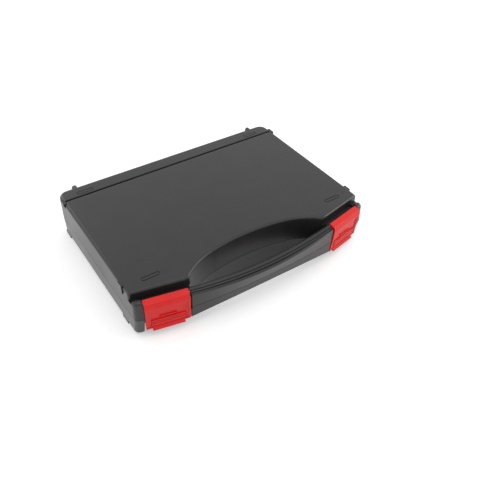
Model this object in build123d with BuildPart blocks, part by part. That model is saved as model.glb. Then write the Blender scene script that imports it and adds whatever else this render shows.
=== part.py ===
# Small plastic tool case with two latches.
# Millimetres. +X is the case's right, +Y its back with the hinge, +Z up. The origin is on the
# ground, in the middle of the case's width and depth.
import os
from math import cos, radians, sin, sqrt, tan

from build123d import *

os.makedirs("parts", exist_ok=True)

# Overall sizes of the closed case
CASE_WIDTH = 230.0
CASE_DEPTH = 180.0
CASE_HEIGHT = 45.0

# Walls and levels
WALL = 2.2
FOOT_HEIGHT = 1.7
SEAM_HEIGHT = 22.0
STEP_DEPTH = 5.0
SIDE_PROUD = 0.5
PEG_LENGTH = 2.5
SIDE_DRAFT = 1.4
LEDGE = CASE_HEIGHT - STEP_DEPTH

# Outline seen from above
HALF_WIDTH = CASE_WIDTH / 2 - SIDE_PROUD
FRONT = -CASE_DEPTH / 2
REAR = CASE_DEPTH / 2 - PEG_LENGTH
SLANT = 11.86
SLANT_SLOPE = tan(radians(SLANT))
REAR_CORNER_RADIUS = 9.0
FRONT_CORNER_RADIUS = 4.5
CORNER_BLOCK_WIDTH = 7.0
CORNER_FRONT = FRONT + 17.1
BASE_LEAN = 5.3
WALL_DRAFT = 0.3
INNER_HALF = HALF_WIDTH - WALL - WALL_DRAFT
FAR = 2 * CASE_WIDTH

# Latch bays
BAY_WIDTH = 37.1
BAY_OUTER = HALF_WIDTH - CORNER_BLOCK_WIDTH
BAY_INNER = BAY_OUTER - BAY_WIDTH
BAY_MIDDLE = (BAY_OUTER + BAY_INNER) / 2

# Finger opening behind the grip: one wide arc with a tighter one at each end
OPENING_HALF = BAY_INNER - 3.0
OPENING_WALL_SHARE = 0.2
ARCH_MIDDLE = FRONT + 36.6
ARCH_KNEE = (36.0, ARCH_MIDDLE - 3.6)
ARCH_END = FRONT + 16.8
OPENING_DRAFT = 2.9

# Front edge of the raised panel
PANEL_FRONT = FRONT + 26.9

# Edge roundings
TOP_ROUND = 2.8
LEDGE_ROUND = 2.8
RIM_ROUND = 2.0
RIM_CORNER_ROUND = 3.0
BOTTOM_ROUND = 3.6

# Lid hinge
HINGE_RADIUS = 1.7
HINGE_Y = REAR - 18.7
HINGE_Z = CASE_HEIGHT - HINGE_RADIUS
HINGE_GAP = 1.3
SPINE_ROUND = 0.8
SPINE_FRONT = HINGE_Y + HINGE_RADIUS + HINGE_GAP
KNUCKLE_WIDTH = 3.0
KNUCKLE_LENGTH = 5.5
HINGE_PIN_RADIUS = 0.9
HINGE_PIN_LENGTH = 17.0

# Fits
RUNNING_FIT = 0.06
FIXED_FIT = 0.02
END_GAP = 0.3

# Latches. Their sections are drawn from the pin's axis: first forward, then up.
LATCH_THICKNESS = 2.2
LATCH_AXIS_DROP = 3.0
LATCH_AXIS_BACK = 2.5
LATCH_BARREL_RADIUS = 2.1
LATCH_PIN_RADIUS = 0.8
LATCH_SIDE_GAP = 0.8
LATCH_BELOW_SEAM = 12.6
LATCH_BACK = -1.8
LATCH_TOP = 3.3
LATCH_WALL_GAP = 0.4
LATCH_BROW = (4.4, 1.0)
LATCH_FACE_TOP = (5.1, -3.0)
LATCH_ARMPIT = (1.2, -1.2)
LATCH_BACK_LOW = 0.8
LATCH_LEAN = 6.5
TAB_HEIGHT = 2.0
TAB_WIDTH = 26.5
TAB_PROUD = 0.9
TAB_ROOT = 1.2
TROUGH_RADIUS = 4.1
TRENCH_FLOOR = -1.4
CHANNEL_DEPTH = 3.2
CHANNEL_ROUND = 2.0
HOOK_DROP = 6.5
HOOK_PROUD = 0.7
HOOK_CLEARANCE = 0.2
HOOK_SLACK = 0.6
HOOK_EDGE = 0.5
HOOK_HEIGHT = 2.5
HOOK_ROOT = 0.3
LIP_THICKNESS = 2.4
SHELF_THICKNESS = 2.5
SCOOP_DEPTH = 12.5
LATCH_AXIS_Z = LEDGE - LATCH_AXIS_DROP
LATCH_LENGTH = (BAY_WIDTH - 2 * LATCH_SIDE_GAP) / cos(radians(SLANT))
LATCH_BOTTOM = SEAM_HEIGHT - LATCH_BELOW_SEAM - LATCH_AXIS_Z
SEAM_BELOW_AXIS = SEAM_HEIGHT - LATCH_AXIS_Z

# Seam between the two halves
SEAM_GAP = 0.4
TONGUE_HEIGHT = 0.6
TONGUE_THICKNESS = 1.0

# Small features
FOOT_WIDTH = 5.4
FOOT_LENGTH = 10.0
FOOT_X = HALF_WIDTH - 3.3
FRONT_FOOT_Y = FRONT + 43.0
REAR_FOOT_Y = REAR - 8.5
PEG_X = HALF_WIDTH - 18.0
PEG_RADIUS = 2.5
PEG_INSET = 2.6
NUB_Y = FRONT + 40.0
NUB_LENGTH = 7.0
NUB_HEIGHT = 8.0
NUB_TOP = CASE_HEIGHT - 0.5
MARK_X = HALF_WIDTH - 23.5
FRONT_MARK_Y = FRONT + 34.0
REAR_MARK_Y = REAR - 11.5
MARK_LENGTH = 16.0
MARK_WIDTH = 4.0
MARK_CORNER = 1.2
MARK_LINE = 0.7
MARK_DEPTH = 0.4
LATCH_PIN_HOLD = 1.6
FRAME_BORDER = 1.7
FRAME_STEP = 0.45
RIB_COUNT = 3
RIB_WIDTH = 1.5
RIB_PITCH = 2.2
SHORT_RIB_LENGTH = 14.0
SHORT_RIB_RISE = 13.0


def draw(points, radii=0):
    """A closed outline with rounded corners."""
    with BuildLine(Plane.XY) as line:
        FilletPolyline(*points, radius=radii, close=True)
    make_face(line.edges())


def slant_y(x, at_corner):
    """A line across the front that runs forward from the case's side towards its middle."""
    return at_corner - SLANT_SLOPE * (HALF_WIDTH - abs(x))


def draw_slanted(side, rear, front, rear_radius, front_radius):
    """An outline from above, with a front that runs forward from both sides to the grip's ends."""
    corner = slant_y(side, front)
    inner = slant_y(BAY_INNER, front)
    draw(
        [
            (-side, rear),
            (-side, corner),
            (-BAY_INNER, inner),
            (BAY_INNER, inner),
            (side, corner),
            (side, rear),
        ],
        [rear_radius, front_radius, 0, 0, front_radius, rear_radius],
    )


def body_block(height, front_radius):
    """The case's outer form from the seam up, narrower towards its top."""
    with BuildPart() as block:
        with BuildSketch(Plane.XY.offset(SEAM_HEIGHT)):
            draw_slanted(HALF_WIDTH, REAR, CORNER_FRONT, REAR_CORNER_RADIUS, front_radius)
        extrude(amount=height, taper=SIDE_DRAFT)
    return block.part


def opening_block(grow):
    """The finger opening and all in front of it, between the grip's ends. It is narrowest at the seam."""
    side = BAY_INNER + CASE_HEIGHT
    with BuildPart() as block:
        with BuildSketch(Plane.XY.offset(2 * SEAM_HEIGHT - CASE_HEIGHT)) as outline:
            with BuildLine():
                middle = ThreePointArc(ARCH_KNEE, (0, ARCH_MIDDLE), (-ARCH_KNEE[0], ARCH_KNEE[1]))
                left = TangentArc(middle @ 1, (-OPENING_HALF, ARCH_END), tangent=middle % 1)
                right = TangentArc(middle @ 0, (OPENING_HALF, ARCH_END), tangent=(middle % 0) * -1)
                far_corners = [(-side, 2 * FRONT), (side, 2 * FRONT)]
                Polyline(left @ 1, (-side, ARCH_END), *far_corners, (side, ARCH_END), right @ 1)
            make_face()
            if grow:
                offset(amount=grow, kind=Kind.INTERSECTION)
        extrude(amount=CASE_HEIGHT - SEAM_HEIGHT, taper=OPENING_DRAFT)
        extrude(outline.sketch, amount=-CASE_HEIGHT)
        mirror(about=Plane.XY.offset(SEAM_HEIGHT))
        Box(2 * (BAY_INNER + grow * OPENING_WALL_SHARE), FAR, FAR, mode=Mode.INTERSECT)
    return block.part


def grip_section(x, inset, grooves):
    """Corners of the grip's section at a distance from the middle, first along Y, then Z.

    The inset moves them inward. The grooves run along the top. Each pair is a share of the way from
    its inner to its outer edge and a depth.
    """
    share = (x / BAY_INNER) ** 2

    def corner(middle, end, inward, lift):
        """A corner that moves from its place in the middle to its place at the end."""
        y = middle[0] + (end[0] - middle[0]) * share + inset * inward
        z = middle[1] + (end[1] - middle[1]) * share + inset * lift
        return Vector(FRONT + y, z)

    ridge = corner((7.1, LEDGE - 3.7), (11.2, LEDGE - 0.3), 0.5, -1)
    brink = corner((0.9, LEDGE - 6.3), (7.0, LEDGE - 3.4), 1, -1)
    across = brink - ridge
    down = Vector(-across.Y, across.X).normalized()
    return [
        ridge,
        *[ridge + across * way + down * depth for way, depth in grooves],
        brink,
        corner((0.0, LEDGE - 7.3), (6.3, LEDGE - 4.2), 1, -1),
        corner((3.4, SEAM_HEIGHT), (7.1, SEAM_HEIGHT), 1, 0),
        corner((4.9, SEAM_HEIGHT - 8.0), (8.0, SEAM_HEIGHT - 11.5), 1, 1),
        corner((6.5, SEAM_HEIGHT - 9.7), (9.5, SEAM_HEIGHT - 13.2), 1, 1),
        corner((11.5, SEAM_HEIGHT - 10.3), (15.0, SEAM_HEIGHT - 13.8), -1, 1),
        corner((13.5, SEAM_HEIGHT - 8.3), (17.0, SEAM_HEIGHT - 11.8), -1, 1),
        corner((13.0, LEDGE - 11.0), (17.0, LEDGE - 6.5), -1, -1),
        corner((11.2, LEDGE - 7.9), (15.4, LEDGE - 3.5), -1, -1),
        corner((8.6, LEDGE - 4.4), (12.7, LEDGE - 1.0), 0, -1),
    ]


def grip_bar(half_length, inset, grooves):
    """The grip across the front, thinner in its middle than at its ends."""
    with BuildPart() as bar:
        for x in (-half_length, 0, half_length):
            with BuildSketch(Plane.YZ.offset(x)):
                draw([(corner.X, corner.Y) for corner in grip_section(x, inset, grooves)])
        loft()
    return bar.part


def axis_y(x):
    """Depth of the latch pins at a distance from the case's middle."""
    return slant_y(x, CORNER_FRONT) + LATCH_AXIS_BACK


# Section plane across the middle of the right latch, seen along its pin
ALONG = Vector(cos(radians(SLANT)), sin(radians(SLANT)), 0)
FORWARD = Vector(sin(radians(SLANT)), -cos(radians(SLANT)), 0)
LATCH_PLANE = Plane(
    origin=(BAY_MIDDLE, axis_y(BAY_MIDDLE), LATCH_AXIS_Z),
    x_dir=FORWARD,
    z_dir=ALONG * -1,
)


def face_reach(height):
    """How far the latch's front face lies ahead of its pin."""
    return LATCH_FACE_TOP[0] - tan(radians(LATCH_LEAN)) * (LATCH_FACE_TOP[1] - height)


def rise_shift(drop):
    """How far a point of the latch moves forward while the opening lid lifts it to the seam."""
    behind = HINGE_Y - axis_y(BAY_INNER)
    high = HINGE_Z - SEAM_HEIGHT
    low = high + drop
    return (sqrt(behind**2 + low**2 - high**2) - behind) * cos(radians(SLANT))


def slanted_block(points, inner, outer, trough_radius=0):
    """A section drawn in the latch's plane and carried along the front, on both sides of the case."""
    with BuildPart() as block:
        with BuildSketch(LATCH_PLANE):
            draw(points)
            if trough_radius:
                Circle(trough_radius)
        extrude(amount=FAR, both=True)
        with Locations(((inner + outer) / 2, 0, 0)):
            Box(outer - inner, 2 * FAR, 2 * FAR, mode=Mode.INTERSECT)
        mirror(about=Plane.YZ)
    return block.part


def hollow_level(front, bottom, top):
    """A level of the space inside the lid, with its front edge parallel to the latches."""
    with BuildPart() as level:
        with BuildSketch(Plane.XY.offset(bottom)):
            draw_slanted(INNER_HALF, HINGE_Y + 2 * HINGE_RADIUS, front, 0, 0)
        extrude(amount=top - bottom)
    return level.part


def rod(start, end, radius):
    """A round rod between two points."""
    with BuildPart() as bar:
        direction = Vector(end) - Vector(start)
        with BuildSketch(Plane(origin=start, z_dir=direction)):
            Circle(radius)
        extrude(amount=direction.length)
    return bar.part


def both_sides(piece):
    """A piece together with its mirror image on the case's other side."""
    with BuildPart() as pair:
        add(piece)
        mirror(about=Plane.YZ)
    return pair.part


def above(piece, level):
    """What lies above a level."""
    with BuildPart() as kept:
        add(piece)
        split(bisect_by=Plane.XY.offset(level), keep=Keep.TOP)
    return kept.part


def below(piece, level):
    """What lies below a level."""
    with BuildPart() as kept:
        add(piece)
        split(bisect_by=Plane.XY.offset(level), keep=Keep.BOTTOM)
    return kept.part


def stacking_marks(y):
    """Two flat loops pressed into the top, for the feet of another case."""
    with BuildPart() as marks:
        with BuildSketch(Plane.XY.offset(CASE_HEIGHT - MARK_DEPTH)):
            with Locations((MARK_X, y), (-MARK_X, y)):
                Rectangle(MARK_LENGTH, MARK_WIDTH)
            chamfer(vertices(), MARK_CORNER)
            offset(amount=-MARK_LINE, kind=Kind.INTERSECTION, mode=Mode.SUBTRACT)
        extrude(amount=2 * MARK_DEPTH)
    return marks.part


def peg(x, z):
    """A blunt round peg on the rear wall."""
    with BuildPart() as bar:
        with BuildSketch(Plane((x, REAR - WALL, z), x_dir=(1, 0, 0), z_dir=(0, 1, 0))):
            Circle(PEG_RADIUS)
        extrude(amount=WALL + PEG_LENGTH)
    return bar.part


# The finger opening, from the ground to the top
opening = opening_block(0)

# Raised panel of the top, with a rounded rim along its front and round the finger opening
with BuildPart() as raised_panel:
    add(body_block(CASE_HEIGHT - SEAM_HEIGHT, FRONT_CORNER_RADIUS))
    fillet(raised_panel.faces().sort_by(Axis.Z)[-1].edges(), TOP_ROUND)
    with BuildSketch(Plane.XY.offset(SEAM_HEIGHT)):
        far_front = slant_y(FAR, PANEL_FRONT)
        inner_front = slant_y(BAY_INNER, PANEL_FRONT)
        draw(
            [
                (-FAR, far_front),
                (-FAR, -FAR),
                (FAR, -FAR),
                (FAR, far_front),
                (BAY_INNER, inner_front),
                (-BAY_INNER, inner_front),
            ]
        )
    extrude(amount=CASE_HEIGHT, mode=Mode.SUBTRACT)
    add(opening, mode=Mode.SUBTRACT)
    opening_corners = raised_panel.edges().filter_by(
        lambda edge: (ARCH_KNEE[0] + OPENING_HALF) / 2 < abs(edge.center().X) < BAY_INNER
        and edge.bounding_box().size.Z > STEP_DEPTH
    )
    fillet(opening_corners, RIM_CORNER_ROUND)
    top_edges = raised_panel.faces().sort_by(Axis.Z)[-1].edges()
    rim_edges = top_edges.filter_by(
        lambda edge: edge.center().Y < 0 and abs(edge.center().X) < BAY_OUTER
    )
    fillet(rim_edges, RIM_ROUND)

# Step in front of the panel. A channel parts the corner blocks from the panel.
channel_floor = LEDGE - CHANNEL_DEPTH - LATCH_AXIS_Z
behind_corners = slanted_block(
    [
        (-TROUGH_RADIUS, channel_floor),
        (-TROUGH_RADIUS, CASE_HEIGHT),
        (-FAR, CASE_HEIGHT),
        (-FAR, channel_floor),
    ],
    0,
    FAR,
)
with BuildPart() as ledge_block:
    add(body_block(LEDGE - SEAM_HEIGHT, FRONT_CORNER_RADIUS))
    fillet(ledge_block.faces().sort_by(Axis.Z)[-1].edges(), LEDGE_ROUND)
    add(behind_corners, mode=Mode.SUBTRACT)
    add(opening, mode=Mode.SUBTRACT)
    ledge_edges = ledge_block.faces().filter_by(Axis.Z).group_by(Axis.Z)[-1].edges()
    channel_edges = ledge_edges.filter_by(
        lambda edge: edge.length > BAY_WIDTH
        and edge.center().Y > slant_y(edge.center().X, CORNER_FRONT + TROUGH_RADIUS)
    )
    fillet(channel_edges, CHANNEL_ROUND)

# The case's outer form above the seam, without the grip
with BuildPart() as outer_top:
    add(raised_panel.part)
    add(ledge_block.part)

# The case's outer form below the seam. Its front leans back towards the ground.
front_line = LATCH_AXIS_BACK * cos(radians(SLANT))
foot_line = front_line - BASE_LEAN * cos(radians(SLANT))
before_base = slanted_block(
    [
        (front_line, SEAM_BELOW_AXIS),
        (foot_line, FOOT_HEIGHT - LATCH_AXIS_Z),
        (FAR, FOOT_HEIGHT - LATCH_AXIS_Z),
        (FAR, SEAM_BELOW_AXIS),
    ],
    0,
    FAR,
)
with BuildPart() as outer_base:
    add(body_block(SEAM_HEIGHT - FOOT_HEIGHT, 0))
    mirror(about=Plane.XY.offset(SEAM_HEIGHT), mode=Mode.REPLACE)
    add(before_base, mode=Mode.SUBTRACT)
    front_corners = outer_base.edges().filter_by(
        lambda edge: abs(edge.center().X) > BAY_OUTER
        and edge.center().Y < 0
        and edge.bounding_box().size.Z > FOOT_HEIGHT
    )
    fillet(front_corners, FRONT_CORNER_RADIUS)
    fillet(outer_base.faces().sort_by(Axis.Z)[0].edges(), BOTTOM_ROUND)
    add(opening, mode=Mode.SUBTRACT)

# The grip, whole and with the space inside it. A fine and a broad groove run along its top.
GROOVES = [(0.38, 0), (0.44, 0.5), (0.50, 0), (0.72, 0), (0.76, 1.5), (0.97, 1.5)]
grip = grip_bar(BAY_INNER, 0, GROOVES)
grip_hollow = grip_bar(BAY_INNER - 2 * WALL, WALL, [])

# Hooks and the lip they close on
HOOK_LEVEL = SEAM_BELOW_AXIS - HOOK_DROP
HOOK_FOOT = HOOK_LEVEL - HOOK_HEIGHT
HOOK_TIP = face_reach(HOOK_LEVEL) - LATCH_THICKNESS - HOOK_PROUD
LIP_FOOT = HOOK_TIP - HOOK_CLEARANCE
LIP_TOP = LIP_FOOT + rise_shift(HOOK_DROP)
LIP_BOTTOM = HOOK_LEVEL + HOOK_SLACK

# Bays for the latches, first in the lid, then in the base
TRENCH_BACK = (CORNER_FRONT + LATCH_AXIS_BACK - PANEL_FRONT) * cos(radians(SLANT))

lid_bay = slanted_block(
    [
        (face_reach(SEAM_BELOW_AXIS) - LATCH_THICKNESS - LATCH_WALL_GAP, SEAM_BELOW_AXIS - SEAM_GAP),
        (LATCH_FACE_TOP[0] - LATCH_THICKNESS - LATCH_WALL_GAP, LATCH_FACE_TOP[1]),
        (0, LATCH_FACE_TOP[1]),
        (-TROUGH_RADIUS, TRENCH_FLOOR),
        (TRENCH_BACK, TRENCH_FLOOR),
        (TRENCH_BACK, 2 * STEP_DEPTH),
        (CASE_HEIGHT, 2 * STEP_DEPTH),
        (CASE_HEIGHT, SEAM_BELOW_AXIS - SEAM_GAP),
    ],
    BAY_INNER,
    BAY_OUTER,
    TROUGH_RADIUS,
)
base_bay = slanted_block(
    [
        (LIP_FOOT, LIP_BOTTOM),
        (LIP_TOP, SEAM_BELOW_AXIS),
        (LIP_TOP, 0),
        (CASE_HEIGHT, 0),
        (CASE_HEIGHT, -CASE_HEIGHT),
        (-SCOOP_DEPTH, -CASE_HEIGHT),
        (-SCOOP_DEPTH, SEAM_BELOW_AXIS - SHELF_THICKNESS),
        (LIP_FOOT - LIP_THICKNESS, SEAM_BELOW_AXIS - SHELF_THICKNESS),
        (LIP_FOOT - LIP_THICKNESS, LIP_BOTTOM),
    ],
    BAY_INNER,
    BAY_OUTER,
)

# Space inside the base, and the tongue round its rim
BASE_HOLLOW_FRONT = CORNER_FRONT + LATCH_AXIS_BACK + (SCOOP_DEPTH + WALL) / cos(radians(SLANT))
LID_REST = SEAM_HEIGHT + TONGUE_HEIGHT


def base_hollow(grow, bottom, top):
    """The space inside the base's walls, made wider by a given amount."""
    rear = REAR - WALL - WALL_DRAFT + grow
    front = BASE_HOLLOW_FRONT - grow
    with BuildPart() as hollow:
        with BuildSketch(Plane.XY.offset(bottom)):
            draw_slanted(INNER_HALF + grow, rear, front, REAR_CORNER_RADIUS - WALL + grow, 0)
        extrude(amount=top - bottom)
        add(opening_block(WALL - grow), mode=Mode.SUBTRACT)
    return hollow.part


# Lower half: tray, feet, lower pegs, finger scoops and the lower half of the grip
with BuildPart() as base_tray:
    add(below(outer_base.part, SEAM_HEIGHT - SEAM_GAP / 2))
    add(base_bay, mode=Mode.SUBTRACT)
    add(below(grip, SEAM_HEIGHT - SEAM_GAP / 2))
    add(grip_hollow, mode=Mode.SUBTRACT)
    add(base_hollow(TONGUE_THICKNESS, SEAM_HEIGHT - 2 * SEAM_GAP, LID_REST))
    add(base_hollow(0, FOOT_HEIGHT + WALL, CASE_HEIGHT), mode=Mode.SUBTRACT)
    for foot_y in (FRONT_FOOT_Y, REAR_FOOT_Y):
        with BuildSketch():
            with Locations((FOOT_X, foot_y), (-FOOT_X, foot_y)):
                Rectangle(FOOT_WIDTH, FOOT_LENGTH)
        extrude(amount=FOOT_HEIGHT + WALL)
    for side in (-1, 1):
        add(peg(side * PEG_X, FOOT_HEIGHT + PEG_INSET))
base_tray.part.label = "base_tray"
export_step(base_tray.part, "parts/base_tray.step")

# Space inside the lid: low under the latches' troughs, high under the panel
with BuildPart() as lid_hollow:
    wall_front = CORNER_FRONT + LATCH_AXIS_BACK + WALL / 2
    add(hollow_level(wall_front, SEAM_HEIGHT, LATCH_AXIS_Z - TROUGH_RADIUS - WALL))
    add(hollow_level(PANEL_FRONT + WALL, SEAM_HEIGHT, CASE_HEIGHT - WALL))
    add(opening_block(WALL), mode=Mode.SUBTRACT)

# Rebate that takes the tongue
rebate = base_hollow(TONGUE_THICKNESS + SEAM_GAP / 2, SEAM_HEIGHT - SEAM_GAP, LID_REST)

HINGE_INNER = HALF_WIDTH + SIDE_PROUD - KNUCKLE_WIDTH - END_GAP
hinge_start = (HALF_WIDTH + SIDE_PROUD - END_GAP, HINGE_Y, HINGE_Z)
hinge_end = (hinge_start[0] - HINGE_PIN_LENGTH, HINGE_Y, HINGE_Z)
hinge_bore_end = (hinge_end[0] - END_GAP, HINGE_Y, HINGE_Z)

# Latch pins, along the slanted front
pin_reach = BAY_WIDTH / 2 / cos(radians(SLANT)) + LATCH_PIN_HOLD
latch_pin_ends = [LATCH_PLANE.origin + ALONG * (side * pin_reach) for side in (-1, 1)]
latch_bore_ends = [LATCH_PLANE.origin + ALONG * (side * (pin_reach + END_GAP)) for side in (-1, 1)]

# Upper half in front of the hinge
with BuildPart() as lid:
    add(above(outer_top.part, SEAM_HEIGHT + SEAM_GAP / 2))
    with Locations((0, HINGE_Y, 0)):
        Box(FAR, FAR, FAR, align=(Align.CENTER, Align.MAX, Align.CENTER), mode=Mode.INTERSECT)
    add(above(grip, SEAM_HEIGHT + SEAM_GAP / 2))
    add(grip_hollow, mode=Mode.SUBTRACT)
    add(lid_bay, mode=Mode.SUBTRACT)
    add(lid_hollow.part, mode=Mode.SUBTRACT)
    add(rebate, mode=Mode.SUBTRACT)
    for side in (-1, 1):
        with Locations((side * CASE_WIDTH / 2, NUB_Y, NUB_TOP)):
            Box(2 * WALL, NUB_LENGTH, NUB_HEIGHT, align=(Align.CENTER, Align.CENTER, Align.MAX))
        with Locations((side * (HINGE_INNER + FAR / 2), HINGE_Y, HINGE_Z)):
            Box(FAR, 2 * (HINGE_RADIUS + HINGE_GAP), 2 * (HINGE_RADIUS + HINGE_GAP), mode=Mode.SUBTRACT)
    with Locations((0, 0, LEDGE)):
        Box(CASE_WIDTH, FAR, FAR, mode=Mode.INTERSECT)
    add(rod((-HINGE_INNER, HINGE_Y, HINGE_Z), (HINGE_INNER, HINGE_Y, HINGE_Z), HINGE_RADIUS))
    add(both_sides(rod(hinge_start, hinge_bore_end, HINGE_PIN_RADIUS + RUNNING_FIT)), mode=Mode.SUBTRACT)
    add(both_sides(rod(*latch_bore_ends, LATCH_PIN_RADIUS + FIXED_FIT)), mode=Mode.SUBTRACT)
    add(stacking_marks(FRONT_MARK_Y), mode=Mode.SUBTRACT)
lid.part.label = "lid"
export_step(lid.part, "parts/lid.step")

# Knuckle that carries the outer end of a hinge pin
with BuildPart() as knuckle:
    with BuildSketch(Plane.YZ.offset(CASE_WIDTH / 2 - KNUCKLE_WIDTH)):
        with Locations((HINGE_Y + KNUCKLE_LENGTH / 2, HINGE_Z)):
            SlotCenterToCenter(KNUCKLE_LENGTH, 2 * HINGE_RADIUS)
    extrude(amount=KNUCKLE_WIDTH)

# Upper half behind the hinge, fixed on the tray
with BuildPart() as rear_spine:
    add(above(outer_top.part, SEAM_HEIGHT + SEAM_GAP / 2))
    with Locations((0, HINGE_Y + END_GAP, 0)):
        Box(FAR, FAR, FAR, align=(Align.CENTER, Align.MIN, Align.CENTER), mode=Mode.INTERSECT)
    with BuildSketch(Plane.XY.offset(SEAM_HEIGHT)):
        draw(
            [(-INNER_HALF, 0), (INNER_HALF, 0), (INNER_HALF, REAR - WALL), (-INNER_HALF, REAR - WALL)],
            [0, 0, REAR_CORNER_RADIUS - WALL, REAR_CORNER_RADIUS - WALL],
        )
    extrude(amount=CASE_HEIGHT - WALL - SEAM_HEIGHT, mode=Mode.SUBTRACT)
    with Locations((0, SPINE_FRONT - FAR / 2, CASE_HEIGHT)):
        Box(2 * INNER_HALF, FAR, CASE_HEIGHT, mode=Mode.SUBTRACT)
    along_case = rear_spine.edges().filter_by(Axis.X)
    upper_front = along_case.sort_by(lambda edge: edge.center().Z - edge.center().Y)[-1]
    fillet(upper_front, SPINE_ROUND)
    add(both_sides(knuckle.part))
    add(rebate, mode=Mode.SUBTRACT)
    for side in (-1, 1):
        add(peg(side * PEG_X, CASE_HEIGHT - PEG_INSET))
    add(both_sides(rod(hinge_start, hinge_bore_end, HINGE_PIN_RADIUS + FIXED_FIT)), mode=Mode.SUBTRACT)
    add(stacking_marks(REAR_MARK_Y), mode=Mode.SUBTRACT)
rear_spine.part.label = "rear_spine"
export_step(rear_spine.part, "parts/rear_spine.step")

# Hinge pins
with BuildPart() as hinge_pin_right:
    add(rod(hinge_start, hinge_end, HINGE_PIN_RADIUS))
hinge_pin_right.part.label = "hinge_pin_right"
export_step(hinge_pin_right.part, "parts/hinge_pin_right.step")

with BuildPart() as hinge_pin_left:
    add(hinge_pin_right.part)
    mirror(about=Plane.YZ, mode=Mode.REPLACE)
hinge_pin_left.part.label = "hinge_pin_left"
export_step(hinge_pin_left.part, "parts/hinge_pin_left.step")

# Latch pins
with BuildPart() as latch_pin_right:
    add(rod(*latch_pin_ends, LATCH_PIN_RADIUS))
latch_pin_right.part.label = "latch_pin_right"
export_step(latch_pin_right.part, "parts/latch_pin_right.step")

with BuildPart() as latch_pin_left:
    add(latch_pin_right.part)
    mirror(about=Plane.YZ, mode=Mode.REPLACE)
latch_pin_left.part.label = "latch_pin_left"
export_step(latch_pin_left.part, "parts/latch_pin_left.step")

# Red latch: barrel, top flange, leaning plate with a framed field, grip ribs, hook and finger tab
face_bottom = face_reach(LATCH_BOTTOM)
field_middle = (LATCH_FACE_TOP[1] + LATCH_BOTTOM) / 2
FACE_PLANE = Plane(
    origin=LATCH_PLANE.from_local_coords((face_reach(field_middle), field_middle, 0)),
    x_dir=ALONG,
    z_dir=FORWARD * cos(radians(LATCH_LEAN)) - Vector(0, 0, 1) * sin(radians(LATCH_LEAN)),
)
face_height = (LATCH_FACE_TOP[1] - LATCH_BOTTOM) / cos(radians(LATCH_LEAN))
with BuildPart() as latch_right:
    with BuildSketch(LATCH_PLANE):
        draw(
            [
                (LATCH_BACK, LATCH_TOP),
                LATCH_BROW,
                LATCH_FACE_TOP,
                (face_bottom, LATCH_BOTTOM),
                (face_bottom - LATCH_THICKNESS, LATCH_BOTTOM),
                (LATCH_FACE_TOP[0] - LATCH_THICKNESS, LATCH_FACE_TOP[1]),
                LATCH_ARMPIT,
                (LATCH_BACK, LATCH_BACK_LOW),
            ],
            [0.7, 2.0, 1.5, 0.6, 0.6, 0, 0, 0],
        )
        Circle(LATCH_BARREL_RADIUS)
    extrude(amount=LATCH_LENGTH / 2, both=True)
    with BuildSketch(LATCH_PLANE):
        draw(
            [
                (face_reach(HOOK_LEVEL) - LATCH_THICKNESS + HOOK_ROOT, HOOK_LEVEL),
                (HOOK_TIP, HOOK_LEVEL),
                (HOOK_TIP, HOOK_LEVEL - HOOK_EDGE),
                (face_reach(HOOK_FOOT) - LATCH_THICKNESS + HOOK_ROOT, HOOK_FOOT),
            ]
        )
    extrude(amount=TAB_WIDTH / 2, both=True)
    with BuildSketch(LATCH_PLANE):
        draw(
            [
                (face_bottom, LATCH_BOTTOM + TAB_ROOT),
                (face_bottom + TAB_PROUD, LATCH_BOTTOM - TAB_HEIGHT / 2),
                (face_bottom + TAB_PROUD, LATCH_BOTTOM - TAB_HEIGHT),
                (face_bottom - LATCH_THICKNESS / 2, LATCH_BOTTOM - TAB_HEIGHT),
                (face_bottom - LATCH_THICKNESS, LATCH_BOTTOM + TAB_ROOT),
            ]
        )
    extrude(amount=TAB_WIDTH / 2, both=True)
    for border, depth in ((FRAME_BORDER, FRAME_STEP), (2 * FRAME_BORDER, 2 * FRAME_STEP)):
        with BuildSketch(FACE_PLANE.offset(-depth)):
            Rectangle(LATCH_LENGTH - 2 * border, face_height - 2 * border)
        extrude(amount=2 * FRAME_STEP, mode=Mode.SUBTRACT)
    with BuildSketch(FACE_PLANE.offset(-2 * FRAME_STEP)):
        for rib in range(1, RIB_COUNT + 1):
            with Locations((0, -face_height / 2 + 2 * FRAME_BORDER + rib * RIB_PITCH - RIB_WIDTH / 2)):
                Rectangle(LATCH_LENGTH - 5 * FRAME_BORDER, RIB_WIDTH)
        with Locations((0, -face_height / 2 + SHORT_RIB_RISE)):
            Rectangle(SHORT_RIB_LENGTH, RIB_WIDTH / 2)
    extrude(amount=2 * FRAME_STEP)
    add(rod(*latch_bore_ends, LATCH_PIN_RADIUS + RUNNING_FIT), mode=Mode.SUBTRACT)
latch_right.part.label = "latch_right"
export_step(latch_right.part, "parts/latch_right.step")

with BuildPart() as latch_left:
    add(latch_right.part)
    mirror(about=Plane.YZ, mode=Mode.REPLACE)
latch_left.part.label = "latch_left"
export_step(latch_left.part, "parts/latch_left.step")
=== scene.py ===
from math import cos, radians, sin

import bpy
from mathutils import Matrix, Vector

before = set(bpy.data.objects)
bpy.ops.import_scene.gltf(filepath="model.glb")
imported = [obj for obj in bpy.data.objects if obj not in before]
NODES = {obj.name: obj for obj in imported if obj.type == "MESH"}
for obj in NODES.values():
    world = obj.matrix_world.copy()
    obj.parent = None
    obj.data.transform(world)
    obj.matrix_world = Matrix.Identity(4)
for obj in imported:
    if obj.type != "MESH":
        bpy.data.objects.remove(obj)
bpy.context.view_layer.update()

# Nodes by the plastic or metal they are made of
CASE_NODES = ("base_tray", "lid", "rear_spine")
LATCH_NODES = ("latch_left", "latch_right")
PIN_NODES = ("hinge_pin_left", "hinge_pin_right", "latch_pin_left", "latch_pin_right")

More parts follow.
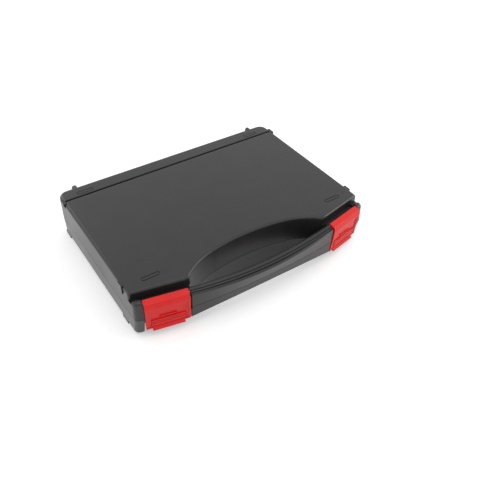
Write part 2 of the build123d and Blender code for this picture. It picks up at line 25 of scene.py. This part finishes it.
# Camera, as fitted to the photograph. Metres and degrees.
CAMERA_TARGET = Vector((0.00454, -0.0368, 0.0225))
CAMERA_AZIMUTH = -33.59
CAMERA_ELEVATION = 41.13
CAMERA_ROLL = 0.36
CAMERA_DISTANCE = 0.51769
CAMERA_LENS = 43.76
CAMERA_NEAR = 0.01
SENSOR_WIDTH = 36.0

# Plain colours, linear
WHITE = (1, 1, 1)
CASE_BLACK = (0.014, 0.014, 0.0143)
LATCH_RED = (0.68, 0.012, 0.011)
PIN_STEEL = (0.2, 0.2, 0.21)
FLOOR_WHITE = (0.88, 0.88, 0.88)

# How far the floor reaches from the middle, and how much whiter it looks than it is lit
FLOOR_REACH = 6.0
FLOOR_LIFT = 0.34

# Light of the room, and the point that the lamps face
ROOM_STRENGTH = 0.68
CASE_MIDDLE = (0, 0, 0.02)

# Share of the noise that is spread over a whole range of values
NOISE_LOW = 0.3
NOISE_HIGH = 0.7


class Material:
    """Builds a node material step by step around one Principled shader."""

    def __init__(self, name, colour, roughness):
        self.material = bpy.data.materials.new(name)
        self.material.use_nodes = True
        self.tree = self.material.node_tree
        self.shader = self.tree.nodes["Principled BSDF"]
        self.shader.inputs["Base Color"].default_value = (*colour, 1)
        self.shader.inputs["Roughness"].default_value = roughness
        self.coordinates = self.tree.nodes.new("ShaderNodeTexCoord").outputs["Object"]
        self.relief = None

    def link(self, output, target):
        self.tree.links.new(output, target)

    def noise(self, scale, detail, stretch=None):
        """Procedural noise in the part's own space. A stretch makes it run along one direction."""
        texture = self.tree.nodes.new("ShaderNodeTexNoise")
        texture.inputs["Scale"].default_value = scale
        texture.inputs["Detail"].default_value = detail
        if stretch is None:
            self.link(self.coordinates, texture.inputs["Vector"])
        else:
            mapping = self.tree.nodes.new("ShaderNodeMapping")
            mapping.inputs["Scale"].default_value = stretch
            self.link(self.coordinates, mapping.inputs["Vector"])
            self.link(mapping.outputs["Vector"], texture.inputs["Vector"])
        return texture.outputs["Fac"]

    def spread(self, noise, low, high):
        """Maps noise to a range of values."""
        ranged = self.tree.nodes.new("ShaderNodeMapRange")
        ranged.inputs["From Min"].default_value = NOISE_LOW
        ranged.inputs["From Max"].default_value = NOISE_HIGH
        ranged.inputs["To Min"].default_value = low
        ranged.inputs["To Max"].default_value = high
        self.link(noise, ranged.inputs["Value"])
        return ranged.outputs["Result"]

    def roughen(self, noise, low, high):
        """Lets the roughness drift between two values."""
        self.link(self.spread(noise, low, high), self.shader.inputs["Roughness"])

    def tint(self, noise, dark, light):
        """Lets the colour drift between two shades."""
        mix = self.tree.nodes.new("ShaderNodeMix")
        mix.data_type = "RGBA"
        mix.inputs["A"].default_value = (*dark, 1)
        mix.inputs["B"].default_value = (*light, 1)
        self.link(self.spread(noise, 0, 1), mix.inputs["Factor"])
        self.link(mix.outputs["Result"], self.shader.inputs["Base Color"])

    def bump(self, noise, depth, strength):
        """Adds relief. Each call lies on top of the one before."""
        bump = self.tree.nodes.new("ShaderNodeBump")
        bump.inputs["Strength"].default_value = strength
        bump.inputs["Distance"].default_value = depth
        self.link(noise, bump.inputs["Height"])
        if self.relief is not None:
            self.link(self.relief, bump.inputs["Normal"])
        self.relief = bump.outputs["Normal"]
        self.link(self.relief, self.shader.inputs["Normal"])


def shade(colour, factor):
    """A darker or lighter shade of a colour."""
    return tuple(channel * factor for channel in colour)


def case_plastic():
    """Black moulded plastic with a fine eroded grain and faint handling marks."""
    plastic = Material("case_black", CASE_BLACK, roughness=0.30)
    plastic.roughen(plastic.noise(scale=22, detail=3), low=0.27, high=0.33)
    plastic.tint(plastic.noise(scale=60, detail=4), shade(CASE_BLACK, 0.9), shade(CASE_BLACK, 1.12))
    plastic.bump(plastic.noise(scale=900, detail=3), depth=0.00006, strength=0.35)
    plastic.bump(plastic.noise(scale=2600, detail=1), depth=0.00002, strength=0.4)
    plastic.bump(plastic.noise(scale=30, detail=2, stretch=(0.6, 14, 14)), depth=0.00002, strength=0.25)
    return plastic.material


def latch_plastic():
    """Red moulded plastic, with a finer grain and less shine than the case."""
    plastic = Material("latch_red", LATCH_RED, roughness=0.38)
    plastic.shader.inputs["Specular IOR Level"].default_value = 0.3
    plastic.roughen(plastic.noise(scale=80, detail=3), low=0.33, high=0.44)
    plastic.tint(plastic.noise(scale=140, detail=3), shade(LATCH_RED, 0.94), shade(LATCH_RED, 1.05))
    plastic.bump(plastic.noise(scale=1600, detail=2), depth=0.00003, strength=0.3)
    return plastic.material


def pin_steel():
    """Dark drawn steel wire with fine lines round it."""
    steel = Material("pin_steel", PIN_STEEL, roughness=0.3)
    steel.shader.inputs["Metallic"].default_value = 1
    steel.roughen(steel.noise(scale=400, detail=2, stretch=(6, 1, 1)), low=0.22, high=0.38)
    steel.bump(steel.noise(scale=900, detail=2, stretch=(5, 1, 1)), depth=0.00001, strength=0.3)
    return steel.material


def seen_directly(tree):
    """One for rays that show a surface to the camera, also in a reflection, and none for other rays."""
    path = tree.nodes.new("ShaderNodeLightPath")
    total = path.outputs["Is Camera Ray"]
    for kind in ("Is Glossy Ray", "Is Transmission Ray"):
        larger = tree.nodes.new("ShaderNodeMath")
        larger.operation = "MAXIMUM"
        tree.links.new(total, larger.inputs[0])
        tree.links.new(path.outputs[kind], larger.inputs[1])
        total = larger.outputs["Value"]
    return total


def floor_paper():
    """Matte white paper that keeps the shadow and looks as white as the room behind it."""
    paper = Material("floor_white", FLOOR_WHITE, roughness=0.9)
    paper.shader.inputs["Specular IOR Level"].default_value = 0.1
    paper.shader.inputs["Emission Color"].default_value = (*WHITE, 1)
    lift = paper.tree.nodes.new("ShaderNodeMath")
    lift.operation = "MULTIPLY"
    lift.inputs[1].default_value = FLOOR_LIFT
    paper.link(seen_directly(paper.tree), lift.inputs[0])
    paper.link(lift.outputs["Value"], paper.shader.inputs["Emission Strength"])
    return paper.material


def dress(nodes, material):
    """Gives nodes their material and slot."""
    for node in nodes:
        piece = NODES[node]
        piece.data.materials.clear()
        piece.data.materials.append(material)


def add_floor():
    """A pale floor, level with the lowest point of the feet."""
    mesh = bpy.data.meshes.new("floor")
    corners = [(x * FLOOR_REACH, y * FLOOR_REACH, 0) for x, y in ((-1, -1), (1, -1), (1, 1), (-1, 1))]
    mesh.from_pydata(corners, [], [(0, 1, 2, 3)])
    floor = bpy.data.objects.new("floor", mesh)
    bpy.context.scene.collection.objects.link(floor)
    floor.data.materials.append(floor_paper())


def add_lamp(name, place, width, height, power, target=CASE_MIDDLE):
    """A soft rectangular lamp that faces a point."""
    data = bpy.data.lights.new(name, "AREA")
    data.shape = "RECTANGLE"
    data.size = width
    data.size_y = height
    data.energy = power
    lamp = bpy.data.objects.new(name, data)
    lamp.location = place
    lamp.rotation_euler = (Vector(target) - Vector(place)).to_track_quat("-Z", "Y").to_euler()
    bpy.context.scene.collection.objects.link(lamp)


def add_room():
    """Even room light. The camera and reflections see plain white behind the object."""
    world = bpy.data.worlds.new("room")
    bpy.context.scene.world = world
    world.use_nodes = True
    tree = world.node_tree
    tree.nodes.clear()
    out = tree.nodes.new("ShaderNodeOutputWorld")
    room = tree.nodes.new("ShaderNodeBackground")
    room.inputs["Color"].default_value = (*WHITE, 1)
    room.inputs["Strength"].default_value = ROOM_STRENGTH
    backdrop = tree.nodes.new("ShaderNodeBackground")
    backdrop.inputs["Color"].default_value = (*WHITE, 1)
    backdrop.inputs["Strength"].default_value = 1.0
    mix = tree.nodes.new("ShaderNodeMixShader")
    tree.links.new(seen_directly(tree), mix.inputs["Fac"])
    tree.links.new(room.outputs["Background"], mix.inputs[1])
    tree.links.new(backdrop.outputs["Background"], mix.inputs[2])
    tree.links.new(mix.outputs["Shader"], out.inputs["Surface"])


def add_camera():
    """The photograph's viewpoint, from the fitted angles."""
    azimuth = radians(CAMERA_AZIMUTH)
    elevation = radians(CAMERA_ELEVATION)
    back = Vector((sin(azimuth) * cos(elevation), -cos(azimuth) * cos(elevation), sin(elevation)))
    right = Vector((cos(azimuth), sin(azimuth), 0))
    up = back.cross(right)
    roll = radians(CAMERA_ROLL)
    rolled_right = right * cos(roll) + up * sin(roll)
    rolled_up = up * cos(roll) - right * sin(roll)
    data = bpy.data.cameras.new("camera")
    data.lens = CAMERA_LENS
    data.sensor_width = SENSOR_WIDTH
    data.clip_start = CAMERA_NEAR
    camera = bpy.data.objects.new("camera", data)
    axes = Matrix((rolled_right, rolled_up, back)).transposed().to_4x4()
    camera.matrix_world = Matrix.Translation(CAMERA_TARGET + back * CAMERA_DISTANCE) @ axes
    bpy.context.scene.collection.objects.link(camera)
    bpy.context.scene.camera = camera


dress(CASE_NODES, case_plastic())
dress(LATCH_NODES, latch_plastic())
dress(PIN_NODES, pin_steel())
add_floor()
add_room()
add_lamp("overhead", (-0.1, -0.2, 0.9), width=0.7, height=0.5, power=1.2, target=(0, 0, 0))
add_lamp("left", (-1.0, 0.1, 0.4), width=1.0, height=0.5, power=1.5)
add_lamp("rear", (-0.25, 1.0, 0.55), width=0.5, height=0.3, power=1.3)
add_lamp("right", (0.85, -0.2, 0.35), width=1.2, height=0.3, power=4.5)
add_camera()
bpy.context.scene.view_settings.view_transform = "Standard"
